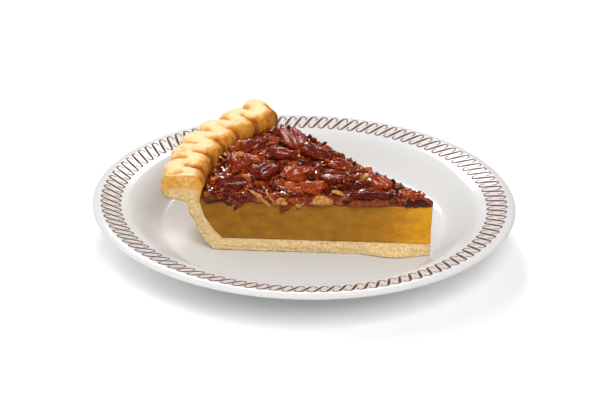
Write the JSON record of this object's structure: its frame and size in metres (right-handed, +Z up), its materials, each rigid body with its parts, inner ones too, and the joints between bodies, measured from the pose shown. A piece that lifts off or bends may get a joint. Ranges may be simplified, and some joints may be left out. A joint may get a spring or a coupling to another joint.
{
  "type": "pecan pie slice on a plate",
  "caption": "Cut wedge of pecan pie with a fluted pastry edge, smooth filling and glazed nut topping, on a round china dessert plate with a printed scroll border.",
  "frame": {"origin": "centre of the plate's foot ring, on the surface the plate stands on", "axes": "+Z up; +X to the right along the near cut face towards the slice's tip; +Y away from the near cut face, towards the back of the plate"},
  "size_m": [0.19, 0.19, 0.0449],
  "materials": {
    "china": "gloss",
    "pastry": "matte",
    "filling": "satin",
    "nut_glaze": "gloss",
    "pecan": "gloss"
  },
  "bodies": {
    "root": {"plate": "china", "crust": "pastry", "filling": "filling", "pecan_topping": "nut_glaze", "pecan_01": "pecan", "pecan_02": "pecan", "pecan_03": "pecan", "pecan_04": "pecan", "pecan_05": "pecan", "pecan_06": "pecan", "pecan_07": "pecan", "pecan_08": "pecan", "pecan_09": "pecan", "pecan_10": "pecan", "pecan_11": "pecan", "pecan_12": "pecan", "pecan_13": "pecan", "pecan_14": "pecan"}
  },
  "joints": []
}
